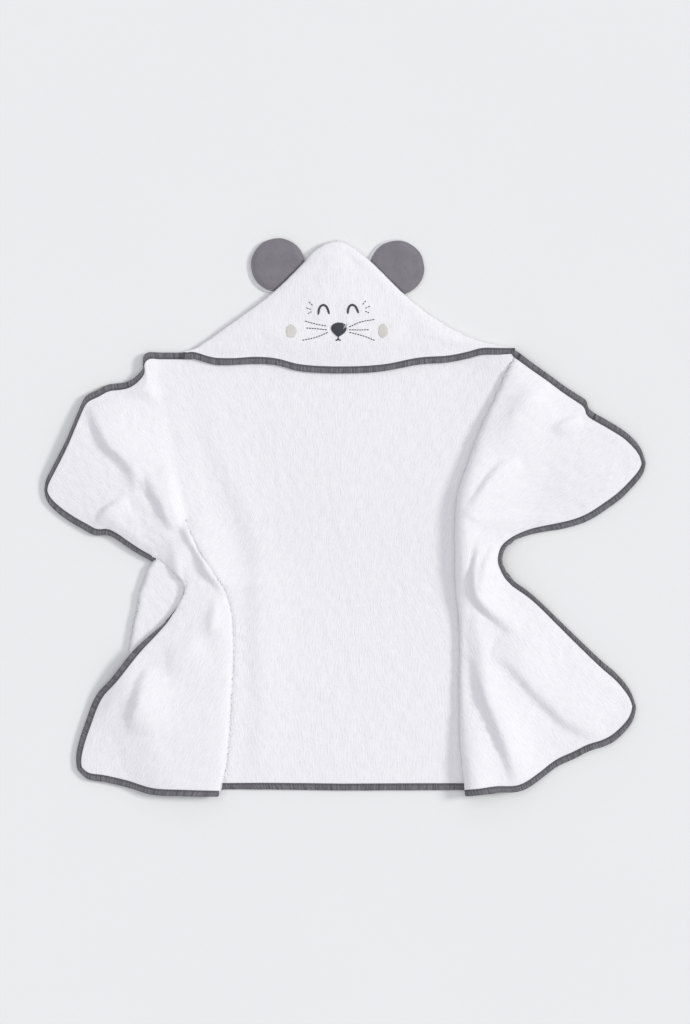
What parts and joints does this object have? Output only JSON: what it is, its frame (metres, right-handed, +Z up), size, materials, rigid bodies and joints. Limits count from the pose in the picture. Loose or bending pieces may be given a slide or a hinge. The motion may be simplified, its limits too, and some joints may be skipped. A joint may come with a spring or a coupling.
{
  "type": "hooded baby towel",
  "caption": "White terry baby towel with grey bound edges and a corner hood that has round grey ears and an embroidered mouse face.",
  "frame": {"origin": "centre of the flat-laid towel's bounding box, on the surface it lies on", "axes": "+X to the towel's right across its width, +Y towards the hood's point, +Z up out of the face side"},
  "size_m": [0.81, 0.7516, 0.0292],
  "materials": {
    "terry_white": "white cotton terry, looped pile",
    "tape_grey": "matt grey cotton bias binding, gathered and topstitched",
    "ear_grey": "matt grey woven cotton",
    "ear_lining": "pale grey woven cotton",
    "thread_dark": "dark grey satin-stitch embroidery",
    "thread_light": "pale embroidery thread",
    "cheek_beige": "beige filled embroidery"
  },
  "bodies": {
    "towel": {"towel_panel": "terry_white", "edge_binding": "tape_grey"},
    "hood": {"hood_back": "terry_white", "hood_front": "terry_white", "hood_binding": "tape_grey", "eye_left": "thread_dark", "eye_right": "thread_dark", "lash_left_1": "thread_dark", "lash_left_2": "thread_dark", "lash_left_3": "thread_dark", "lash_right_1": "thread_dark", "lash_right_2": "thread_dark", "lash_right_3": "thread_dark", "nose": "thread_dark", "nose_glint": "thread_light", "mouth": "thread_dark", "whisker_left_1": "thread_dark", "whisker_left_2": "thread_dark", "whisker_left_3": "thread_dark", "whisker_right_1": "thread_dark", "whisker_right_2": "thread_dark", "whisker_right_3": "thread_dark", "cheek_left": "cheek_beige", "cheek_right": "cheek_beige"},
    "left_ear": {"ear_left_front": "ear_grey", "ear_left_back": "ear_lining"},
    "right_ear": {"ear_right_front": "ear_grey", "ear_right_back": "ear_lining"}
  },
  "joints": [
    {"name": "hood_fold", "type": "hinge", "parent": "towel", "child": "hood", "pos_m": [0, 0.1923, 0.014], "axis": [1, 0, 0], "range_deg": [0, 110]},
    {"name": "left_ear_flop", "type": "hinge", "parent": "hood", "child": "left_ear", "pos_m": [-0.075, 0.3228, 0.007], "axis": [0.7156, 0.6985, 0], "range_deg": [0, 160]},
    {"name": "right_ear_flop", "type": "hinge", "parent": "hood", "child": "right_ear", "pos_m": [0.0545, 0.3233, 0.007], "axis": [0.715, -0.6991, 0], "range_deg": [0, 160]}
  ]
}
